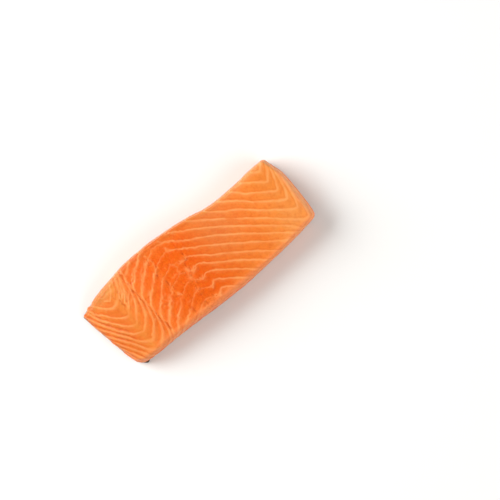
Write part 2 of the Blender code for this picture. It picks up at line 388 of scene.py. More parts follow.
def flake_grid():
    n = len(FAT_LINES)
    rows = []
    for k, pts in enumerate(FAT_LINES):
        px, py = np.array(pts, float).T
        y = np.interp(GX, px - 0.1, py - 0.3)
        slope = [(py[1] - py[0]) / (px[1] - px[0]), (py[-1] - py[-2]) / (px[-1] - px[-2])]
        y = y + np.minimum(0, GX - px[0]) * slope[0] + np.maximum(0, GX - px[-1]) * slope[1]
        rows.append(np.where(GX < px[0], np.nan, y) if k < 3 else y)
    for k in (2, 1, 0):
        rows[k] = np.where(np.isnan(rows[k]), rows[k + 1] + 9.4, rows[k])
    for k in range(4, n):
        rows[k] = np.minimum(rows[k], rows[k - 1] - 1.4)
    for k in (2, 1, 0):
        rows[k] = np.maximum(rows[k], rows[k + 1] + 1.4)
    rows = np.array(rows)[::-1]
    numbers = np.arange(n)[::-1].astype(float)
    field = np.empty((len(GY), len(GX)))
    for i in range(len(GX)):
        y = rows[:, i]
        f = np.interp(GY, y, numbers)
        f = np.where(GY > y[-1], -(GY - y[-1]) / 9.0, f)
        field[:, i] = np.where(GY < y[0], n - 1 + (y[0] - GY) / 9.0, f)
    field = blur(field, 0.55 / GRID)
    x, y = np.meshgrid(GX, GY)
    field += 0.03 * layered(x, y, 0 * x, 9.0, 11) + 0.03 * noise(x, y, 0 * x, 2.8, 13)
    field += middle_part(x) * (0.11 * layered(x, y, 0 * x, 2.6, 12) + 0.05 * noise(x, y, 0 * x, 1.5, 14))
    return field


FLAKES = flake_grid()
FLAKES_DY, FLAKES_DX = np.gradient(FLAKES, GRID)


def read(grid, x, y):
    i = np.clip((x - GX[0]) / GRID, 0, len(GX) - 1.001)
    j = np.clip((y - GY[0]) / GRID, 0, len(GY) - 1.001)
    i0, j0 = i.astype(int), j.astype(int)
    fi, fj = i - i0, j - j0
    return (
        grid[j0, i0] * (1 - fi) * (1 - fj)
        + grid[j0, i0 + 1] * fi * (1 - fj)
        + grid[j0 + 1, i0] * (1 - fi) * fj
        + grid[j0 + 1, i0 + 1] * fi * fj
    )


# the fold where the lining of the belly ends: (y, x) down the top of the portion
FOLD = (
    (-27.5, -44.2), (-19.8, -44.5), (-16.2, -45.2), (-12.6, -45.8), (-9.0, -45.7), (-6.9, -46.5),
    (-0.4, -47.8), (10.0, -48.2), (12.5, -49.4), (20.0, -49.6), (33.0, -48.6),
)
# paler patches of fat: (x, y, long half, short half, turn in degrees, strength)
PATCHES = (
    (-8.7, 0.8, 2.6, 1.7, -50, 1.15),
    (-5.5, -1.6, 2.5, 1.5, 35, 1.15),
    (-10.1, -4.5, 2.5, 2.1, 60, 0.75),
    (-8.6, -8.4, 1.6, 0.9, 80, 0.35),
    (-3.4, -10.2, 1.8, 1.2, 20, 0.9),
    (-8.4, 8.8, 1.9, 1.1, 0, 0.8),
    (-3.4, 8.9, 1.9, 0.9, -20, 0.6),
    (-2.2, -19.0, 1.3, 0.9, 30, 0.8),
    (-1.4, -27.0, 2.0, 1.2, -50, 0.9),
    (-11.8, -14.1, 1.9, 1.1, 0, 0.6),
    (-19.4, -27.6, 2.3, 0.9, 10, 0.7),
    (-15.0, 3.4, 1.7, 1.1, 50, 0.6),
    (-24.6, -8.2, 1.8, 0.9, -60, 0.7),
    (-30.5, 12.8, 2.6, 1.1, 40, 0.75),
    (-26.4, 24.6, 1.4, 3.0, 20, 0.4),
    (-40.4, 4.6, 2.2, 1.2, 30, 0.75),
    (-45.2, 8.6, 2.0, 1.3, 60, 0.6),
    (-46.4, -2.4, 0.9, 2.2, 0, 0.6),
    (-47.6, 15.0, 1.1, 2.2, 0, 0.7),
    (-36.0, 20.4, 4.6, 1.0, 42, 0.5),
    (-11.8, 28.6, 2.2, 1.1, -40, 0.6),
    (-11.4, 22.2, 2.0, 0.9, -50, 0.6),
    (-49.9, -12.8, 1.8, 0.9, 30, 0.7),
    (-55.6, -27.6, 2.0, 1.1, 45, 0.7),
    (-39.6, -26.9, 1.8, 1.0, 50, 0.7),
    (-52.4, 14.0, 3.6, 1.2, 55, 0.55),
    (-54.6, 8.6, 2.0, 0.9, 50, 0.55),
    (-56.0, 18.4, 1.0, 3.0, 0, 0.35),
    (-50.6, 20.5, 1.0, 3.4, 10, 0.4),
    (86.2, 8.4, 1.1, 3.4, 0, 0.9),
    (86.4, 18.6, 0.9, 2.6, 0, 0.6),
    (86.0, -4.2, 0.9, 2.2, 0, 0.5),
    (63.5, -25.5, 2.6, 1.1, -35, 0.35),
    (-38.0, 15.6, 3.4, 1.15, 50, 0.5),
    (-33.5, 10.4, 3.2, 1.05, 40, 0.5),
    (-28.4, 6.0, 2.0, 0.9, 25, 0.45),
    (-29.5, -13.2, 1.9, 1.0, 30, 0.28),
    (-21.8, -17.6, 1.6, 0.9, 0, 0.4),
    (-33.0, -2.6, 2.6, 0.9, 45, 0.4),
    (-38.4, -9.2, 2.6, 0.9, 45, 0.4),
    (-35.2, -20.6, 2.4, 0.9, 46, 0.35),
    (12.6, 22.4, 3.4, 1.0, -30, 0.35),
    (21.6, 16.4, 3.0, 0.9, -33, 0.3),
    (27.4, 12.4, 2.4, 0.9, -33, 0.35),
    (15.2, 12.8, 2.6, 0.8, -30, 0.3),
    (19.0, 3.2, 2.2, 0.9, -32, 0.35),
    (28.0, -2.8, 2.0, 0.9, -33, 0.35),
    (24.6, -9.0, 3.0, 0.9, -33, 0.35),
    (38.6, -11.2, 1.8, 0.8, -33, 0.35),
    (74.6, 16.8, 2.0, 0.9, -30, 0.4),
    (76.6, 7.6, 2.2, 0.9, -30, 0.45),
    (79.0, -2.0, 2.2, 1.0, -10, 0.45),
    (81.6, -12.0, 2.0, 1.0, -10, 0.4),
    (82.8, -22.0, 2.4, 1.0, 0, 0.4),
)
# thin branches of fat between the lines, and brighter stretches of them: (strength, points)
BRANCHES = (
    (0.45, (-27.0, 27.6), (-26.4, 24.6), (-25.5, 21.0), (-26.4, 16.8)),
    (0.45, (-16.5, 12.0), (-15.0, 10.4), (-13.9, 7.8), (-15.0, 4.8), (-15.3, 3.0)),
    (0.50, (-9.6, 0.9), (-10.2, -1.8), (-9.9, -4.8), (-9.3, -7.2), (-9.6, -9.6)),
    (0.75, (-25.2, -7.8), (-24.0, -9.3), (-23.1, -10.5)),
    (0.50, (-12.0, -12.8), (-12.0, -15.6)),
    (0.80, (-4.2, -18.2), (-2.3, -20.2), (-1.0, -18.2)),
    (0.90, (-4.6, -25.6), (-2.4, -26.2), (-0.6, -28.2), (0.0, -25.2)),
    (0.70, (-9.6, 9.9), (-8.4, 8.1), (-6.6, 8.4)),
    (0.75, (-12.0, 23.4), (-12.0, 21.6), (-10.2, 19.8)),
    (0.50, (-13.2, 31.2), (-12.0, 28.8)),
    (0.90, (-9.6, 1.2), (-8.0, -0.6), (-5.6, -2.0), (-3.8, 0.6), (-2.2, 0.4)),
    (0.80, (-5.6, -9.0), (-4.0, -11.2), (-3.0, -8.8)),
    (0.40, (-35.5, -4.8), (-34.0, -7.6), (-31.8, -9.4)),
    (0.35, (-21.2, 2.9), (-19.0, 3.6), (-17.2, 3.9)),
    (0.40, (-26.5, -1.5), (-25.8, 0.8), (-24.6, 1.6)),
    (0.50, (-19.0, -27.0), (-16.4, -28.4), (-13.6, -28.0)),
    (0.80, (-69.8, 20.0), (-66.5, 17.6), (-64.6, 19.4), (-61.8, 23.0), (-60.4, 27.0)),
    (0.75, (-60.6, 14.6), (-58.0, 18.8), (-55.6, 22.6), (-54.6, 26.0)),
    (0.60, (-59.0, 8.6), (-57.2, 11.8), (-55.4, 15.0)),
    (0.55, (-57.2, 9.8), (-55.2, 12.0), (-53.8, 15.6)),
    (0.55, (-60.4, 12.0), (-58.6, 14.4)),
    (0.70, (-49.6, -12.0), (-51.6, -13.4)),
    (0.50, (-47.6, 24.0), (-48.2, 29.0), (-48.4, 32.0)),
    (0.50, (-50.6, 24.0), (-51.2, 28.0), (-51.4, 31.0)),
    (0.55, (-46.4, -0.4), (-46.0, -3.4)),
    (0.55, (-45.0, -13.4), (-44.6, -17.0)),
    (0.55, (83.6, 24.8), (85.0, 17.6), (86.5, 12.6), (87.6, 9.7)),
    (0.75, (87.4, 10.4), (85.7, 3.2), (84.7, 0.3)),
    (0.45, (84.4, -4.0), (85.8, -12.0), (86.4, -20.0)),
    (0.85, (-50.2, -12.4), (-52.8, -15.4), (-55.0, -17.8), (-57.6, -20.6)),
    (0.70, (-46.6, -11.4), (-48.4, -17.0), (-50.0, -21.4), (-52.4, -25.4), (-56.0, -29.4)),
    (0.60, (-45.4, -20.6), (-46.2, -24.4), (-47.0, -27.2)),
    (0.55, (-47.4, 6.0), (-47.2, 0.4), (-47.9, -4.4), (-49.9, -9.4), (-50.2, -12.0)),
    (0.70, (-47.9, 30.4), (-47.7, 26.0), (-48.6, 20.0), (-48.2, 15.6)),
    (0.55, (-47.6, 8.6), (-46.8, 3.6), (-46.6, 0.6)),
    (0.60, (-43.3, -18.6), (-43.6, -22.6), (-43.4, -24.0)),
    (0.90, (-47.9, 14.0), (-45.9, 18.4), (-43.2, 21.6), (-41.6, 23.6)),
    (0.60, (-59.8, 5.4), (-57.0, 8.8), (-54.2, 13.2)),
    (0.55, (-57.8, 15.2), (-55.4, 19.2), (-53.4, 24.0)),
    (0.50, (-62.6, 22.4), (-60.2, 26.6)),
    (0.45, (-58.4, 25.0), (-56.6, 28.8)),
    (0.80, (-45.4, 8.6), (-42.6, 11.8), (-39.6, 15.4), (-36.2, 18.4)),
    (0.75, (-36.6, -3.6), (-41.0, -7.6), (-43.0, -10.0)),
    (0.75, (-31.8, -8.2), (-36.0, -13.4), (-40.4, -17.2), (-42.6, -19.4)),
    (0.85, (-31.6, -18.4), (-35.2, -21.6), (-38.6, -25.6), (-39.8, -27.0)),
)
# thin grooves, sunk and painted with shade: (strength, points)
GROOVES = (
    (0.50, (-63.6, 20.2), (-63.0, 18.0), (-63.2, 16.2)),
    (0.75, (-61.2, 14.8), (-60.4, 11.2), (-60.2, 7.4)),
    (0.45, (-59.6, 16.8), (-58.2, 20.2), (-57.0, 23.0)),
    (0.40, (-57.6, 9.4), (-56.0, 12.2)),
    (0.60, (-81.4, 18.4), (-80.8, 15.2), (-79.2, 11.8)),
    (0.35, (-45.2, 2.8), (-44.0, 4.6), (-43.6, 6.8)),
    (0.45, (-46.0, 28.8), (-45.4, 24.0), (-46.2, 19.8)),
    (0.40, (-52.6, -1.4), (-51.8, 2.0), (-51.0, 6.4)),
    (0.35, (-55.6, -8.8), (-54.0, -6.2)),
    (0.35, (-43.0, -13.0), (-42.2, -15.4), (-41.0, -16.4)),
    (0.40, (-37.4, -8.0), (-35.6, -9.6), (-34.2, -9.0)),
    (0.35, (-30.2, -17.4), (-28.6, -17.0)),
    (0.40, (-12.6, -6.2), (-10.8, -7.4)),
    (0.65, (-5.3, 7.9), (-3.5, 7.0)),
    (0.70, (-48.9, 31.0), (-49.3, 27.0), (-49.6, 22.6)),
    (0.60, (-49.5, 20.4), (-49.3, 16.2)),
    (0.85, (-49.2, 14.0), (-48.6, 9.0), (-48.2, 4.6)),
    (0.60, (-47.9, 2.8), (-47.2, -1.2), (-46.9, -4.0)),
    (0.90, (-46.6, -6.0), (-46.0, -11.6), (-45.4, -16.0)),
    (0.75, (-44.2, -19.4), (-44.6, -24.8)),
    (0.40, (-3.4, 5.4), (-1.6, 6.0), (0.4, 5.4)),
)
# stretches where a line of fat fades: (its number, from x, to x, share that is left)
GAPS = (
    (5, 35.4, 41.4, 0.25),
    (4, 12.0, 17.0, 0.5),
    (7, 5.6, 9.4, 0.6),
    (8, -37.0, -33.4, 0.5),
    (9, -34.6, -31.2, 0.5),
    (10, -31.0, -26.4, 0.6),
    (11, -29.0, -24.0, 0.6),
    (6, 62.0, 66.0, 0.6),
    (9, 21.0, 25.0, 0.6),
    (3, 58.4, 61.2, 0.6),
)
# holes and slits: (x, y, long half, short half, turn in degrees, depth in mm)
HOLES = (
    (-28.3, 11.5, 1.1, 0.7, 30, 0.7),
    (-25.9, 1.6, 0.6, 2.3, -8, 0.9),
    (-46.0, 18.8, 1.6, 0.7, 10, 0.8),
    (-46.4, 25.0, 1.3, 2.6, 0, 0.35),
    (-43.0, 2.8, 0.9, 0.9, 0, 0.5),
    (-22.4, -24.6, 0.7, 1.7, -10, 0.5),
    (-5.0, 7.1, 1.9, 0.6, -12, 0.6),
    (-17.4, 12.7, 0.7, 0.5, 0, 0.5),
    (-2.2, -3.0, 1.4, 1.0, 30, 0.3),
    (-4.4, -8.0, 1.5, 1.0, 0, 0.35),
    (-18.6, -16.6, 0.9, 1.3, 0, 0.35),
    (-35.8, -9.3, 1.1, 0.6, 30, 0.4),
    (-5.6, -24.4, 0.6, 1.2, 0, 0.35),
    (-58.4, 18.6, 0.9, 1.4, 0, 0.45),
    (-60.4, 9.6, 0.6, 1.6, 0, 0.35),
    (-56.2, 4.0, 0.5, 1.2, 0, 0.3),
    (-77.6, 3.8, 1.2, 0.5, -50, 0.5),
    (-74.6, -3.2, 1.4, 0.5, -50, 0.5),
    (20.2, 6.6, 0.5, 0.5, 0, 0.3),
    (86.9, -2.0, 0.5, 0.6, 0, 0.3),
)


def spots(items, x, y):
    total = 0 * x
    for cx, cy, a, b, turn, strength in items:
        near = np.hypot(x - cx, y - cy) < 3.2 * max(a, b)
        c, s = math.cos(math.radians(turn)), math.sin(math.radians(turn))
        dx, dy = x[near] - cx, y[near] - cy
        q = ((dx * c + dy * s) / a) ** 2 + ((-dx * s + dy * c) / b) ** 2
        total[near] = np.maximum(total[near], strength * np.exp(-q))
    return total


def strokes(items, x, y, half):
    total = 0 * x
    for strength, *points in items:
        points = np.array(points)
        low, high = points.min(0) - 3 * half, points.max(0) + 3 * half
        near = (x > low[0]) & (x < high[0]) & (y > low[1]) & (y < high[1])
        best = np.full(near.sum(), 9.0)
        for a, b in zip(points, points[1:]):
            v = b - a
            q = np.clip(((x[near] - a[0]) * v[0] + (y[near] - a[1]) * v[1]) / (v @ v), 0, 1)
            best = np.minimum(best, np.hypot(x[near] - a[0] - q * v[0], y[near] - a[1] - q * v[1]))
        total[near] = np.maximum(total[near], strength * np.exp(-((best / half) ** 2)))
    return total


# ======================================================================================
# meshes
# ======================================================================================
def rows_from_edge(n, span):
    """Shares along a span of n cells, closer together where the top edge is rounded."""
    edge = EDGE_R / span
    m = max(4, int(round(n * edge * 1.6)))
    k = np.arange(m + 1)
    head = edge * (1 - np.sin(np.pi / 2 * (1 - k / m)))
    half = n // 2
    body = edge + (0.5 - edge) * (np.arange(m + 1, half + 1) - m) / (half - m)
    first = np.concatenate([head, body])
    return np.concatenate([first, 1 - first[::-1][1:]])


def flesh_shape(nx, ny, nz, foot_rows):
    """The flesh as a closed grid: (points, share of height, faces)."""
    S, T = rows_from_edge(nx, LONG), rows_from_edge(ny, ACROSS)
    sv, tv, wv, kind = [], [], [], []
    # top
    s, t = np.meshgrid(S, T, indexing="ij")
    sv.append(s.ravel()), tv.append(t.ravel()), wv.append(np.ones(s.size)), kind.append(np.zeros(s.size))
    top_id = np.arange(s.size).reshape(nx + 1, ny + 1)
    ring = np.concatenate(
        [top_id[:-1, 0], top_id[-1, :-1], top_id[1:, -1][::-1], top_id[0, 1:][::-1]]
    )
    rs, rt = s.ravel()[ring], t.ravel()[ring]
    P = len(ring)
    rings = [ring]
    count = s.size
    for j in range(1, nz + 1):
        sv.append(rs), tv.append(rt), wv.append(np.full(P, 1 - j / nz)), kind.append(np.ones(P))
        rings.append(np.arange(count, count + P))
        count += P
    faces = []
    a, b, c, d = top_id[:-1, :-1], top_id[1:, :-1], top_id[1:, 1:], top_id[:-1, 1:]
    faces += np.stack([a, b, c, d], -1).reshape(-1, 4).tolist()
    for r0, r1 in zip(rings, rings[1:]):
        n0, n1 = np.roll(r0, -1), np.roll(r1, -1)
        faces += np.stack([r0, r1, n1, n0], -1).tolist()
    # foot: a few rows run the length of the portion between the two long edges
    last = rings[-1]
    near = last[: nx + 1]
    far = last[nx + ny : 2 * nx + ny + 1][::-1]
    left = np.concatenate([[near[0]], last[2 * nx + ny :][::-1]])
    right = last[nx : nx + ny + 1]
    cuts = [int(round(ny * q / foot_rows)) for q in range(foot_rows + 1)]
    inner = []
    for q in range(1, foot_rows):
        sv.append(S[1:-1]), tv.append(np.full(nx - 1, T[cuts[q]]))
        wv.append(np.zeros(nx - 1)), kind.append(np.full(nx - 1, 2))
        inner.append(np.concatenate([[left[cuts[q]]], np.arange(count, count + nx - 1), [right[cuts[q]]]]))
        count += nx - 1
    lines = [near] + inner + [far]
    for q in range(foot_rows):
        lo, hi = lines[q], lines[q + 1]
        mid_left = left[cuts[q] : cuts[q + 1] + 1].tolist()
        mid_right = right[cuts[q] : cuts[q + 1] + 1].tolist()
        faces.append(mid_left + [int(hi[1]), int(lo[1])])
        faces += np.stack([lo[1:-2], hi[1:-2], hi[2:-1], lo[2:-1]], -1).tolist()
        faces.append([int(lo[-2]), int(hi[-2])] + mid_right[::-1])
    return (
        np.concatenate(sv),
        np.concatenate(tv),
        np.concatenate(wv),
        np.concatenate(kind),
        faces,
    )


def new_mesh(name, points, faces):
    mesh = bpy.data.meshes.new(name)
    mesh.from_pydata((points * MM).tolist(), [], faces)
    mesh.validate()
    mesh.shade_smooth()
    mesh.update()
    o = bpy.data.objects.new(name, mesh)
    bpy.context.scene.collection.objects.link(o)
    return o


def normals_of(mesh):
    n = np.empty(len(mesh.vertices) * 3, np.float32)
    mesh.vertex_normals.foreach_get("vector", n)
    return n.reshape(-1, 3).astype(float)


def put(mesh, name, values, kind="FLOAT"):
    layer = mesh.attributes.new(name, kind, "POINT")
    if kind == "FLOAT_COLOR":
        rgba = np.ones((len(values), 4), np.float32)
        rgba[:, :3] = values
        layer.data.foreach_set("color", rgba.ravel())
    else:
        layer.data.foreach_set("value", np.asarray(values, np.float32))


def linear(rgb):
    c = np.array(rgb, float) / 255
    return np.where(c <= 0.04045, c / 12.92, ((c + 0.055) / 1.055) ** 2.4)


def make_flesh():
    s, t, w, kind, faces = flesh_shape(360, 136, 36, 4)
    s2, t2, d = corner(s, t)
    x, y = outline(s2, t2, w)
    foot = underside(x) + SKIN_T - 0.05
    # the top edge of the leaning cut face is the softest
    er = EDGE_R + 1.6 * (1 - ramp(t2, 0.2, 0.5)) * (1 - 0.5 * ramp(x, 6, 50))
    uneven = 0.6 * np.exp(-(((x + 81.4) / 1.3) ** 2)) - 0.6 * np.exp(-(((x + 78.9) / 0.9) ** 2))
    y = y + (uneven - 0.3 * np.exp(-(((x + 84.4) / 1.2) ** 2))) * ramp(t2, 0.8, 1.0)
    crest = top(x, y, t2) - er
    z = np.where(
        kind == 0,
        crest + np.sqrt(np.maximum(0.0, er**2 - (er - np.minimum(d, er)) ** 2)),
        foot + (crest - foot) * w,
    )
    points = np.stack([x - MIDDLE[0], y - MIDDLE[1], z], -1)
    o = new_mesh("fillet_flesh", points, faces)
    mesh = o.data
    n = normals_of(mesh)
    pz = z
    over = top(x, y, t2)
    px, py = [
        c + (a - o - c) * (1 + over * DRAWN_GROWTH)
        for a, o, c in zip((x, y), DRAWN, DRAWN_ABOUT)
    ]
    # how far below the top this point lies, and how far above the skin
    # (the top over a point of a side is that of the edge above it)
    depth = np.maximum(0.0, over - pz)
    rise = pz - foot
    side = ramp(1 - n[:, 2], 0.35, 0.85) * (kind < 2)
    # flakes in three dimensions
    sink = SINK * (depth / 20.0) ** 1.25
    phi = read(FLAKES, px, py) + sink
    wob = 0.06 * side * layered(px, py, pz, 5.0, 31)
    phi = phi + wob + 0.05 * (1 - ramp(px, -70, -62)) * noise(px, py, pz, 1.4, 32)
    gx, gy = read(FLAKES_DX, px, py), read(FLAKES_DY, px, py)
    gz = -SINK * 1.25 / 20.0 * (np.maximum(depth, 0.2) / 20.0) ** 0.25
    g = np.stack([gx, gy, np.where(depth > 0.5, gz, 0.0)], -1)
    g = g - (g * n).sum(1)[:, None] * n
    steep = np.maximum(np.linalg.norm(g, axis=1), 0.03)
    part = phi - np.round(phi)
    off = part / steep  # millimetres to the nearest line of fat, signed

    on_top = 1 - side
    near_d, far_d, end_d = t2 * ACROSS, (1 - t2) * ACROSS, np.minimum(s2, 1 - s2) * LONG
    belly = 1 - ramp(px, -72, -63)  # layered end
    lining = (1 - ramp(px, -52, -46)) * (1 - belly)
    soft = middle_part(px)
    fold_x = along(FOLD, py) + 0.45 * layered(0 * px, py, 0 * px, 5.0, 72)
    fold_off = px - fold_x
    fold_here = on_top * (0.62 + 0.5 * noise(px, py, 0 * px, 4.0, 71)) * ramp(py, -31, -24)
    fold_here *= 1 - 0.85 * ramp(py, 15, 20)
    fold_here = fold_here * np.clip(0.75 + 0.75 * noise(px, py, 0 * px, (1.2, 1.9, 2.0), 73), 0, 1.2)
    fold_groove = fold_here * np.exp(-((fold_off / 0.75) ** 2))
    fold_groove += 0.45 * fold_here * np.exp(-(((fold_off + 2.3 + 0.05 * py) / 0.45) ** 2))
    fold_lip = fold_here * np.exp(-(((np.abs(fold_off) - 1.35) / 0.6) ** 2))
    holes = spots(HOLES, px + 0.5 * noise(px, py, 0 * px, 2.0, 5), py + 0.5 * noise(px, py, 0 * px, 2.0, 6)) * on_top
    jx = px + 0.6 * noise(px, py, 0 * px, 1.8, 7)
    jy = py + 0.6 * noise(px, py, 0 * px, 1.8, 8)
    pale = spots(PATCHES, jx, jy) * on_top
    pale = np.maximum(pale, 1.15 * strokes(BRANCHES, jx, jy, 0.62) * on_top)
    # two columns where the lines kink: small bones were drawn out along the second
    kink_a = np.exp(-(((px + 26.2 + 0.05 * py) / 2.6) ** 2)) * ramp(py, -16, -6)
    kink_b = np.exp(-(((px + 8.0 - 0.18 * py + 1.2 * noise(py, py, 0 * py, 7.0, 43)) / 3.0) ** 2))
    kink = np.maximum(kink_a, kink_b) * on_top
    between = ramp(px, -28, -23) * (1 - ramp(px, -11 + 0.18 * -py, -5 + 0.18 * -py)) * on_top
    mottle = layered(px, py, pz, 3.0, 44)
    gape = kink * ramp(noise(px, py, 0 * px, (1.1, 1.9, 2.0), 41), 0.35, 0.8)
    fray = np.exp(-(((px + 57.0) / 5.0) ** 2)) * np.exp(-(((py - 13.5) / 8.0) ** 2)) * on_top

    pillow = 1 - (2 * part) ** 2
    axis = np.exp(-(((px + 61.6 - 0.05 * py) / 3.4) ** 2)) * on_top
    relief = (0.17 - 0.08 * side) * pillow * (1 - 0.5 * belly) * (1 - 0.6 * axis)
    relief -= 0.11 * np.exp(-((off / 0.5) ** 2)) * (1 - belly) * (1 - 0.6 * lining) * (1 - axis)
    relief += 0.12 * np.exp(-((off / 0.6) ** 2)) * (belly + 0.5 * lining) * (1 - axis)
    layers_deep = belly * on_top * ramp(phi, 4.3, 5.6) * (1 - ramp(px, -72, -66))
    layers_deep = layers_deep * (0.7 + 0.5 * noise(px, py, 0 * px, (4.0, 4.0, 4.0), 46))
    crinkle = np.clip(0.8 + 0.8 * noise(px, py, 0 * px, 1.1, 48), 0, 1.3)
    crinkled = np.clip(1.4 * layers_deep * crinkle, 0, 1)
    thin = strokes(GROOVES, jx, jy, 0.5) * on_top
    grooves = np.exp(-(((part + 0.38) / 0.12) ** 2)) + np.exp(-(((part - 0.62) / 0.12) ** 2))
    relief -= 0.6 * layers_deep * grooves
    relief += -0.38 * fold_groove + 0.26 * fold_lip
    relief -= 0.5 * holes + 0.25 * gape + 0.25 * thin * crinkle
    relief += 0.16 * pale
    streaks = noise(px * 0.64 + py * 0.77, px * 0.77 - py * 0.64, 0 * px, (4.2, 0.95, 2.0), 51)
    relief += 0.25 * fray * streaks
    relief += 0.30 * layered(px, py, pz, 21.0, 61) + 0.10 * layered(px, py, pz, 5.0, 62)
    relief += (0.03 + 0.05 * soft) * noise(px, py, pz, 1.1, 63) + 0.16 * np.maximum(between, kink) * mottle
    # the cut faces: each flake ends a little further in or out
    step = lattice(np.floor(phi * 2 + 0.5).astype(np.int64), 0 * phi.astype(np.int64), 0 * phi.astype(np.int64), 77)
    relief += side * step * (0.10 + 0.35 * (1 - ramp(px, -84, -74)))
    relief *= np.where(kind == 0, 1.0, ramp(rise, 0.0, 1.6)) * (kind < 2)
    points = points + n * relief[:, None]
    mesh.vertices.foreach_set("co", (points * MM).astype(np.float32).ravel())
    mesh.update()

    # colours, laid out as smooth fields
    deep_orange, orange, sheen_tone = linear((230, 92, 0)), linear((233, 138, 56)), linear((226, 126, 64))
    right = 0.62 * ramp(px, -6, 36) + 0.38 * ramp(px, 34, 84)
    left = 0.35 * (1 - ramp(px, -50, -22)) + 0.45 * (1 - ramp(px, -62, -48)) - 0.22 * (1 - ramp(px, -68, -62))
    m = np.clip(right + left + 0.10 * layered(px, py, pz, 16.0, 81) + 0.06 * layered(px, py, pz, 4.0, 82), 0, 1)
    m = m + 0.10 * ramp(py, 8, 30) * ramp(px, -5, 30) - 0.05 * ramp(-py, 0, 24)
    m = m + 0.10 * np.exp(-(((px + 24) / 12) ** 2)) * ramp(-py, 8, 20)
    m = m - 0.20 * np.exp(-(((px + 39) / 9) ** 2)) * ramp(py, 13, 24)
    m = m + 0.16 * np.maximum(between, kink) * mottle + 0.2 * kink_a * on_top
    m = m + 0.24 * np.exp(-(((px + 62.0 - 0.05 * py) / 2.8) ** 2)) * on_top  # paler along the V's
    m = np.clip(m, 0, 1)
    tone = deep_orange * (1 - m)[:, None] + orange * m[:, None]
    # painted light: a paler patch over the top of the back half, towards the near edge
    lit = (0.8 * ramp(px, 48, 82) * ramp(-py, -16, 14) * on_top)[:, None]
    tone = tone * (1 - lit) + linear((242, 152, 72)) * lit
    far_edge = 0.22 - 0.12 * np.exp(-(((px + 39) / 9) ** 2))
    edges = np.maximum(0.35 * (1 - ramp(near_d, 4.0, 10.0)), far_edge * (1 - ramp(far_d, 4.0, 10.0)))
    edges = np.maximum(edges, 0.45 * np.exp(-(((px + 63) / 10) ** 2) - ((py - 28) / 6) ** 2))
    edges = np.maximum(edges, 0.6 * np.exp(-(((px + 79) / 8) ** 2) - ((py - 23) / 4) ** 2))
    edges = (edges * on_top)[:, None]
    tone = tone * (1 - edges) + linear((244, 146, 66)) * edges
    # a paler patch along the far edge by the belly end
    straw = np.exp(-(((px + 67.6) / 10.0) ** 2))
    patch = (0.6 * straw * (1 - ramp(far_d, 4.0, 9.5)) * on_top)[:, None]
    tone = tone * (1 - patch) + linear((226, 158, 84)) * patch
    # a little paler near both ends of the near edge
    soft = ramp(px, 42, 58) * (1 - 0.6 * ramp(px, 74, 84)) * ramp(-py, 4, 16)
    soft = (soft + np.exp(-(((px + 74) / 5) ** 2)) * ramp(-py, 12, 19)) * on_top
    tone[:, 1] *= 1 + 0.10 * soft
    tone[:, 2] *= 1 + 0.28 * soft
    # a paler, pinker band over the rounded edge of the leaning cut face: partly its own paler colour, partly painted
    # light making up for the light it lacks
    band = (0.75 * (1 - ramp(near_d, 0.6, er + 2.4)) * (0.4 + 0.6 * on_top) * (1 - ramp(depth, 3.0, 7.0)))[:, None]
    tone = tone * (1 - band) + linear((255, 162, 104)) * band
    # and over the back end's shoulder: partly its pale fat, partly painted light where the light falls off over the
    # rounded end
    band = (0.7 * ramp(px, 83.2, 87.0) * (1 - ramp(depth, 1.5, 6.0)))[:, None]
    tone = tone * (1 - band) + linear((255, 174, 126)) * band
    # and over the far edge towards that end
    band = (0.4 * (1 - ramp(far_d, 0.5, 5.5)) * ramp(px, 12, 42) * on_top)[:, None]
    tone = tone * (1 - band) + linear((255, 174, 118)) * band
    # painted shade: the far and belly edges are painted darker, a dark rim of shade along their rounded tops
    painted_edge_shade = np.maximum(1 - ramp(far_d, 0.0, 2.0), 0.5 * (1 - ramp(far_d, 1.0, 6.0))) * (1 - 0.7 * ramp(px, -12, 20))
    painted_edge_shade = np.maximum(painted_edge_shade, 0.6 * (s2 < 0.2) * (1 - ramp(end_d, 0.0, 1.1)) * ramp(py, -26, -16))
    painted_edge_shade = (0.8 * painted_edge_shade * (1 - ramp(depth, 1.5, 6.0)))[:, None]
    # painted sheen: a broad, less saturated zone over the middle of the top, where the wet surface reflects the lamp
    painted_sheen = np.exp(-(((px - 27.0) / 18.0) ** 2)) * ramp(py, -22, 12) * on_top
    tone = tone * (1 - 0.75 * painted_sheen)[:, None] + sheen_tone * (0.75 * painted_sheen)[:, None]
    low = ramp(depth, 2.0, 8.0)[:, None]
    cut = linear((255, 152, 86)) * (1 - low) + linear((248, 120, 60)) * low
    sd = (side * 0.75 * ramp(depth, 0.6, 4.0))[:, None]
    tone = tone * (1 - sd) + cut * sd
    # darker muscle against the skin, thickest along the side of the fish
    brown = linear((158, 80, 58))
    tall = 2.0 + 6.0 * np.exp(-(((px + 8) / 13.0) ** 2)) + 0.7 * noise(px, py, pz, 3.0, 91)
    bd = (0.75 * side * (1 - ramp(rise, 0.3 * tall, 1.15 * tall)))[:, None]
    tone = tone * (1 - bd) + brown * bd
    # and a thin pale layer of fat between them
    under = (0.7 * side * (1 - ramp(rise, 0.25, 0.7 + 0.2 * noise(px, py, pz, 2.0, 92))))[:, None]
    tone = tone * (1 - under) + linear((222, 178, 138)) * under
    # the colours of the painted shade along those edges
    edge_shade_colour = linear((168, 92, 36)) * (1 - straw)[:, None] + linear((176, 122, 60)) * straw[:, None]
    tone = tone * (1 - painted_edge_shade) + edge_shade_colour * painted_edge_shade
    # painted shade: less red along the far edge, from the middle towards the back end
    tone[:, 0] *= 1 - 0.12 * ramp(px, -12, 20) * (1 - ramp(far_d, 0.8, 4.0)) * (1 - ramp(depth, 2.0, 6.0))
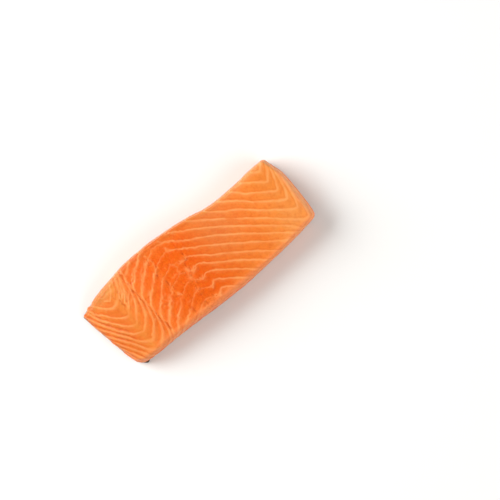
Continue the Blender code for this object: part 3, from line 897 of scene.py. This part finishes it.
    # painted light: the back end is brightened where the light falls off over its shoulder; the belly end is made
    # darker, less so by the near edge
    ends = 0.97 + 0.06 * ramp(px, 76, 84) + 0.08 * ramp(px, 84, 86) * (1 - ramp(depth, 1.5, 6.0))
    ends = ends - 0.15 * (1 - ramp(px, -74, -46)) * (0.3 + 0.7 * ramp(near_d, 2.0, 9.0))
    tone = np.minimum(tone * ends[:, None], 0.97)
    put(mesh, "tone", tone, "FLOAT_COLOR")
    put(mesh, "phi", phi)
    put(mesh, "steep", steep)
    shoulder = ramp(px, 84.4, 86.6) * (1 - ramp(depth, 2.0, 6.0)) * np.clip(0.7 + 0.8 * noise(px, py, pz, 1.8, 98), 0, 1.2)
    pale = np.maximum(pale, 0.5 * shoulder * ramp(py, -30, -16))
    put(mesh, "fat", np.clip(pale + 0.8 * fray * ramp(streaks, -0.1, 0.6), 0, 1))
    # painted shade in the recesses: the fold's groove, the holes, gapes, low frayed streaks and the grooves between
    # layers are painted darker
    recess_shade = np.clip(0.95 * fold_groove + 1.0 * holes + 0.5 * gape + 0.35 * fray * ramp(-streaks, 0.2, 0.8), 0, 1)
    recess_shade = np.maximum(recess_shade, np.maximum(0.8 * crinkled * grooves, thin * crinkle))
    put(mesh, "recess_shade", np.clip(recess_shade, 0, 1))
    # broken, speckled flesh: most where the lines kink, some along the fold
    rough = 0.25 + 0.75 * np.maximum(np.maximum(kink, 0.75 * between), 0.7 * np.exp(-((fold_off / 4.0) ** 2)))
    put(mesh, "rough", np.clip(rough + 0.5 * fray, 0, 1) * (1 - 0.6 * side))
    strength = 1.0 - 0.2 * soft - 0.1 * lining
    strength *= 1 - (0.5 + 0.35 * mottle) * between
    strength *= 1 - 0.35 * kink_a * on_top * (0.5 + noise(px, py, 0 * px, 2.2, 47))
    strength *= 1 - 0.6 * (1 - ramp(phi, 2.3, 2.7)) * (1 - ramp(px, -50, -40))
    strength *= 1 - side * (0.5 - 0.65 * ramp(depth, 1.5, 6.0))
    # the lines fade under the painted edge shade
    strength *= 1 - 0.75 * painted_edge_shade[:, 0]
    # they fade out over the rounded edge of the leaning cut face
    strength *= 1 - 0.65 * (1 - ramp(near_d, 0.8, er + 1.0)) * on_top
    strength *= 1 - 0.15 * belly
    strength *= 1 - (0.78 - 0.38 * ramp(-py, 10, 20)) * axis
    for number, first, last, left_over in GAPS:
        here = (np.abs(phi - number) < 0.5) * ramp(px, first - 0.4, first + 0.6)
        strength *= 1 - (1 - left_over) * here * (1 - ramp(px, last - 2.0, last + 2.0))
    strength *= 1 - 0.5 * ramp(px, 84.5, 87.0)
    put(mesh, "line", np.clip(strength, 0, 1.15))
    wide = 0.95 + 0.55 * lining + 0.45 * ramp(-px, 24, 30) * ramp(px, -48, -44) - 0.2 * between
    wide = wide + 0.35 * ramp(px, 66, 80)
    put(mesh, "wide", wide * (1 + 0.3 * noise(px, py, pz, 3.2, 96) + 0.28 * noise(px, py, pz, 8.0, 97)))
    return o


def make_skin():
    nx, ny = 330, 128
    S, T = np.linspace(0, 1, nx + 1), np.linspace(0, 1, ny + 1)
    s, t = [a.ravel() for a in np.meshgrid(S, T, indexing="ij")]
    s2, t2, d = corner(s, t)
    x, y = outline(s2, t2, 0 * s2, SKIN_SHOW)
    y = y - SKIN_FLAP * np.exp(-(((x - SKIN_FLAP_X) / SKIN_FLAP_SPREAD) ** 2)) * (1 - t2) ** 8
    base = underside(x)
    px, py = x - MIDDLE[0], y - MIDDLE[1]
    # overlapping scales, their free edges towards +Y: rows of arcs, every other row set over
    row = py / 2.6
    best = np.full(px.shape, -9.0)
    edge = np.zeros(px.shape)
    for k in (-1, 0, 1, 2):
        r = np.floor(row) + k
        centre_x = (np.round(px / 3.4 - 0.5 * (r % 2)) + 0.5 * (r % 2)) * 3.4
        dx, dy = (px - centre_x) / 1.95, (py - r * 2.6) / 3.1
        q = dx**2 + dy**2
        newer = (q < 1) & (dy > best)
        edge = np.where(newer, np.where(dy > 0, q, 0.15 * q), edge)
        best = np.where(newer, dy, best)
    lift = 0.16 * ramp(edge, 0.2, 1.0)
    fade = ramp(d, 0.3, 2.0)
    low = base + (0.16 - lift) * fade
    upper = base + SKIN_T + 0 * base
    n = len(px)
    points = np.concatenate([np.stack([px, py, upper], -1), np.stack([px, py, low], -1)])
    ids = np.arange(n).reshape(nx + 1, ny + 1)
    a, b, c, e = ids[:-1, :-1], ids[1:, :-1], ids[1:, 1:], ids[:-1, 1:]
    faces = np.stack([a, b, c, e], -1).reshape(-1, 4).tolist()
    faces += (np.stack([a, e, c, b], -1).reshape(-1, 4) + n).tolist()
    ring = np.concatenate([ids[:-1, 0], ids[-1, :-1], ids[1:, -1][::-1], ids[0, 1:][::-1]])
    nxt = np.roll(ring, -1)
    faces += np.stack([ring, ring + n, nxt + n, nxt], -1).tolist()
    o = new_mesh("fillet_skin", points, faces)
    q = np.concatenate([np.zeros(n), np.ones(n)])
    put(o.data, "under", q * np.concatenate([fade, fade]))
    put(o.data, "scale", np.concatenate([edge, edge]))
    return o


# ======================================================================================
# materials
# ======================================================================================
class Nodes:
    """Short names for laying out a material's nodes."""

    def __init__(self, name):
        self.material = bpy.data.materials.new(name)
        self.material.use_nodes = True
        self.tree = self.material.node_tree
        self.shader = self.tree.nodes["Principled BSDF"]
        self.coords = self.tree.nodes.new("ShaderNodeTexCoord").outputs["Object"]

    def add(self, kind, **settings):
        node = self.tree.nodes.new(kind)
        for key, value in settings.items():
            setattr(node, key, value)
        return node

    def put(self, socket, value):
        if isinstance(value, bpy.types.NodeSocket):
            self.tree.links.new(value, socket)
        else:
            socket.default_value = value

    def read(self, name, colour=False):
        node = self.add("ShaderNodeAttribute", attribute_name=name)
        return node.outputs["Color" if colour else "Fac"]

    def math(self, op, a, b=0.0, c=0.0, clamp=False):
        node = self.add("ShaderNodeMath", operation=op, use_clamp=clamp)
        for socket, value in zip(node.inputs, (a, b, c)):
            self.put(socket, value)
        return node.outputs[0]

    def smooth(self, x, low, high, to_low=0.0, to_high=1.0):
        node = self.add("ShaderNodeMapRange", interpolation_type="SMOOTHSTEP")
        for key, value in (
            ("Value", x),
            ("From Min", low),
            ("From Max", high),
            ("To Min", to_low),
            ("To Max", to_high),
        ):
            self.put(node.inputs[key], value)
        return node.outputs[0]

    def mix(self, q, a, b, kind="MIX"):
        node = self.add("ShaderNodeMix", data_type="RGBA", blend_type=kind)
        self.put(node.inputs["Factor"], q)
        self.put(node.inputs[6], a)
        self.put(node.inputs[7], b)
        return node.outputs[2]

    def stretched(self, sx, sy, sz):
        node = self.add("ShaderNodeMapping")
        self.put(node.inputs["Vector"], self.coords)
        node.inputs["Scale"].default_value = (sx, sy, sz)
        return node.outputs["Vector"]

    def noise(self, scale, detail=2.0, vector=None, rough=0.5):
        node = self.add("ShaderNodeTexNoise")
        self.put(node.inputs["Vector"], vector if vector is not None else self.coords)
        node.inputs["Scale"].default_value = scale
        node.inputs["Detail"].default_value = detail
        node.inputs["Roughness"].default_value = rough
        return node.outputs["Fac"]

    def bump(self, height, strength, distance, before=None):
        node = self.add("ShaderNodeBump")
        node.inputs["Strength"].default_value = strength
        node.inputs["Distance"].default_value = distance
        self.put(node.inputs["Height"], height)
        if before is not None:
            self.put(node.inputs["Normal"], before)
        return node.outputs["Normal"]


def rgba(rgb):
    return (*[float(c) for c in linear(rgb)], 1.0)


def flesh_material():
    m = Nodes("raw_flesh")
    tone = m.read("tone", True)
    phi, steep = m.read("phi"), m.read("steep")
    fat, recess_shade, line = m.read("fat"), m.read("recess_shade"), m.read("line")
    rough = m.read("rough")
    # lines of fat: where the flake number is whole. Their upper right side is crisp, the
    # lower left one fades out
    jitter = m.math("SUBTRACT", m.noise(900, 2.0), 0.5)
    bent = m.math("MULTIPLY_ADD", jitter, 0.05, phi)
    part = m.math("SUBTRACT", bent, m.math("ROUND", bent))
    off = m.math("DIVIDE", part, steep)
    off = m.math("DIVIDE", off, m.read("wide"))
    core = m.math("MULTIPLY", m.smooth(off, -0.75, -0.05), m.smooth(off, 0.1, 1.15, 1.0, 0.0))
    halo = m.math("MULTIPLY", m.smooth(off, -1.5, -0.3), m.smooth(off, 0.3, 3.2, 1.0, 0.0))
    # painted shade: a thin darker strip along the crisp side of each line, as shade beside a raised line
    line_side_shade = m.math("MULTIPLY", m.smooth(off, -2.4, -1.1), m.smooth(off, -1.1, -0.5, 1.0, 0.0))
    vary = m.smooth(m.noise(120, 2.0), 0.3, 0.7, 0.62, 1.0)
    broken = m.math("MULTIPLY", m.smooth(m.noise(420, 2.0), 0.38, 0.6, -0.55, 0.0), rough)
    vary = m.math("MULTIPLY", vary, m.math("ADD", broken, 1.0))
    core = m.math("MULTIPLY", m.math("MULTIPLY", core, line), vary, clamp=True)
    halo = m.math("MULTIPLY", halo, line)
    white = m.math("MULTIPLY_ADD", halo, 0.2, m.math("MULTIPLY", core, 0.66))
    white = m.math("MAXIMUM", white, m.math("MULTIPLY", fat, 0.62), clamp=True)
    # muscle between the lines: fibres run from line to line, along Y
    fibre = m.noise(1.0, 3.0, m.stretched(1500, 330, 900), 0.65)
    cloud = m.noise(300, 4.0, None, 0.65)
    speck = m.noise(950, 2.0, None, 0.7)
    muscle = m.mix(m.smooth(fibre, 0.3, 0.75, 0.0, 0.24), tone, rgba((242, 130, 40)))
    muscle = m.mix(m.smooth(cloud, 0.38, 0.75, 0.0, 0.3), muscle, rgba((202, 74, 0)))
    muscle = m.mix(m.math("MULTIPLY", m.smooth(speck, 0.52, 0.8, 0.0, 0.55), rough), muscle, rgba((248, 152, 66)))
    muscle = m.mix(m.math("MULTIPLY", m.smooth(speck, 0.46, 0.25, 0.0, 0.6), rough), muscle, rgba((184, 60, 0)))
    # the painted shade beside the lines
    muscle = m.mix(m.math("MULTIPLY", line_side_shade, 0.22), muscle, rgba((212, 88, 12)))
    pale = m.mix(0.42, rgba((250, 188, 120)), tone)
    colour = m.mix(white, muscle, pale)
    # painted shade in the recesses
    colour = m.mix(m.math("MULTIPLY", recess_shade, 0.75), colour, rgba((190, 74, 8)))
    m.put(m.shader.inputs["Base Color"], colour)
    m.put(m.shader.inputs["Roughness"], m.smooth(m.noise(420, 3.0), 0.3, 0.7, 0.34, 0.5))
    m.shader.inputs["Specular IOR Level"].default_value = 0.22
    m.shader.inputs["IOR"].default_value = 1.4
    m.shader.inputs["Subsurface Weight"].default_value = 0.35
    m.shader.inputs["Subsurface Radius"].default_value = (1.0, 0.32, 0.16)
    m.shader.inputs["Subsurface Scale"].default_value = 0.003
    m.shader.inputs["Coat Weight"].default_value = 0.06
    m.shader.inputs["Coat Roughness"].default_value = 0.2
    first = m.bump(fibre, 0.22, 0.0002)
    second = m.bump(speck, 0.3, 0.0003, first)
    third = m.bump(core, 0.35, 0.00012, second)
    m.put(m.shader.inputs["Normal"], third)
    return m.material


def skin_material():
    m = Nodes("scaled_skin")
    under, scale = m.read("under"), m.read("scale")

    split = m.add("ShaderNodeSeparateXYZ")
    m.put(split.inputs[0], m.coords)
    x = split.outputs[0]
    wander = m.math("MULTIPLY_ADD", m.math("SUBTRACT", m.noise(60, 3.0), 0.5), 0.03, x)
    back = m.smooth(wander, 0.005, 0.06)
    belly = m.smooth(wander, -0.03, -0.07)
    silver = m.mix(m.noise(240, 3.0), rgba((150, 152, 146)), rgba((190, 192, 186)))
    colour = m.mix(back, silver, rgba((62, 68, 62)))
    colour = m.mix(m.math("MULTIPLY", belly, 0.8), colour, rgba((206, 203, 192)))
    rim = m.smooth(scale, 0.5, 1.0, 0.0, 0.5)
    colour = m.mix(rim, colour, rgba((44, 46, 42)))
    spots = m.smooth(m.noise(95, 1.0), 0.66, 0.72, 0.0, 0.7)
    colour = m.mix(m.math("MULTIPLY", spots, back), colour, rgba((22, 24, 24)))
    cut = m.mix(m.noise(500, 2.0), rgba((58, 44, 22)), rgba((92, 72, 38)))
    colour = m.mix(m.smooth(under, 0.02, 0.5), cut, colour)
    m.put(m.shader.inputs["Base Color"], colour)
    m.put(m.shader.inputs["Roughness"], m.smooth(m.noise(600, 2.0), 0.3, 0.7, 0.24, 0.4))
    m.put(m.shader.inputs["Metallic"], m.math("MULTIPLY", m.smooth(under, 0.1, 0.6), 0.35))
    m.shader.inputs["Coat Weight"].default_value = 0.4
    m.shader.inputs["Coat Roughness"].default_value = 0.12
    m.put(m.shader.inputs["Normal"], m.bump(m.noise(1.0, 2.0, m.stretched(1500, 300, 300)), 0.2, 0.0002))
    return m.material


def floor_material():
    m = Nodes("pale_floor")
    m.shader.inputs["Base Color"].default_value = (0.905, 0.905, 0.897, 1.0)
    m.shader.inputs["Roughness"].default_value = 0.7
    m.shader.inputs["Specular IOR Level"].default_value = 0.2
    return m.material


# ======================================================================================
# the scene
# ======================================================================================
def lamp(name, toward, elevation, distance, size, watts, colour=(1.0, 1.0, 1.0)):
    """A soft square light. toward: the direction it stands in, seen from above."""
    light = bpy.data.lights.new(name, "AREA")
    light.shape = "SQUARE"
    light.size = size
    light.energy = watts
    light.color = colour
    o = bpy.data.objects.new(name, light)
    flat = math.hypot(*toward)
    e = math.radians(elevation)
    place = (
        distance * math.cos(e) * toward[0] / flat,
        distance * math.cos(e) * toward[1] / flat,
        distance * math.sin(e),
    )
    o.location = place
    o.rotation_euler = Vector(place).to_track_quat("Z", "Y").to_euler()
    o.visible_camera = False
    bpy.context.scene.collection.objects.link(o)
    return o


def main():
    flesh = make_flesh()
    flesh.data.materials.append(flesh_material())
    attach(flesh, "root")
    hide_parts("flesh")

    skin = make_skin()
    skin.data.materials.append(skin_material())
    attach(skin, "root")
    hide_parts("skin")

    bpy.ops.mesh.primitive_plane_add(size=8.0, location=(0, 0, -0.0002))
    floor = bpy.context.object
    floor.name = "table"
    floor.data.materials.append(floor_material())

    lamp("key", (-0.6, 0.8), 32, 1.5, 1.2, 34.4, (1.0, 0.995, 0.985))
    lamp("fill", (0.6, -0.8), 38, 1.3, 1.2, 9.2, (1.0, 0.945, 0.885))
    world = bpy.data.worlds.new("studio")
    world.use_nodes = True
    world.node_tree.nodes["Background"].inputs["Color"].default_value = (1, 1, 1, 1)
    world.node_tree.nodes["Background"].inputs["Strength"].default_value = 0.3
    bpy.context.scene.world = world

    cam = bpy.data.cameras.new("camera")
    cam.lens, cam.sensor_width = 300.0, 36.0
    camera = bpy.data.objects.new("camera", cam)
    camera.location = (
        (DRAWN_ABOUT[0] + DRAWN[0] - MIDDLE[0]) * MM,
        (DRAWN_ABOUT[1] + DRAWN[1] - MIDDLE[1]) * MM,
        3.006,
    )
    camera.rotation_euler = (0, 0, math.radians(-38))
    cam.clip_start, cam.clip_end = 0.05, 50
    bpy.context.scene.collection.objects.link(camera)
    bpy.context.scene.camera = camera

    bpy.context.scene.view_settings.view_transform = "Standard"
    bpy.context.scene.view_settings.look = "None"


main()
